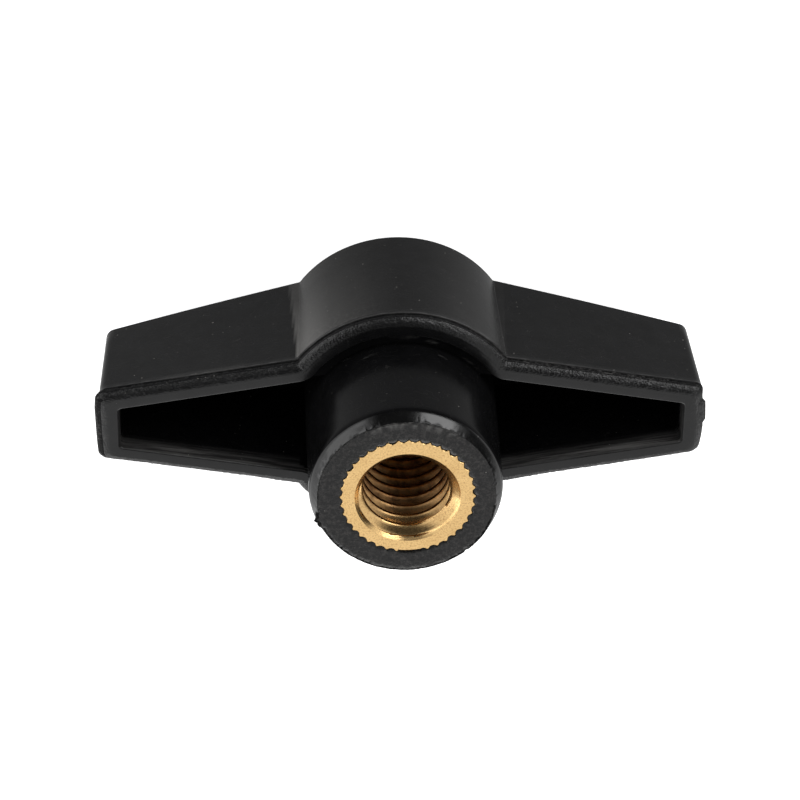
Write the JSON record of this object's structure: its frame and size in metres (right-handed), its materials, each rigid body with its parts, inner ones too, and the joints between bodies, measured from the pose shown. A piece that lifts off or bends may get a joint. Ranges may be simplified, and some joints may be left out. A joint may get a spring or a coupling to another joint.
{
  "type": "wing knob",
  "caption": "Black moulded wing knob with a round hub, two hollow tapering wings, and a knurled brass insert with a blind M10 thread in its boss.",
  "frame": {"origin": "centre of the flat head, which the knob stands on", "axes": "+Z along the thread's axis, out of its mouth; X along the two wings"},
  "size_m": [0.0602, 0.025, 0.0286],
  "materials": {
    "moulded_plastic": "satin black moulded plastic, with a rougher rim and a scuffed boss face",
    "turned_brass": "freshly turned brass with a cut thread and a straight knurl"
  },
  "bodies": {
    "root": {"knob_body": "moulded_plastic", "threaded_insert": "turned_brass"}
  },
  "joints": []
}
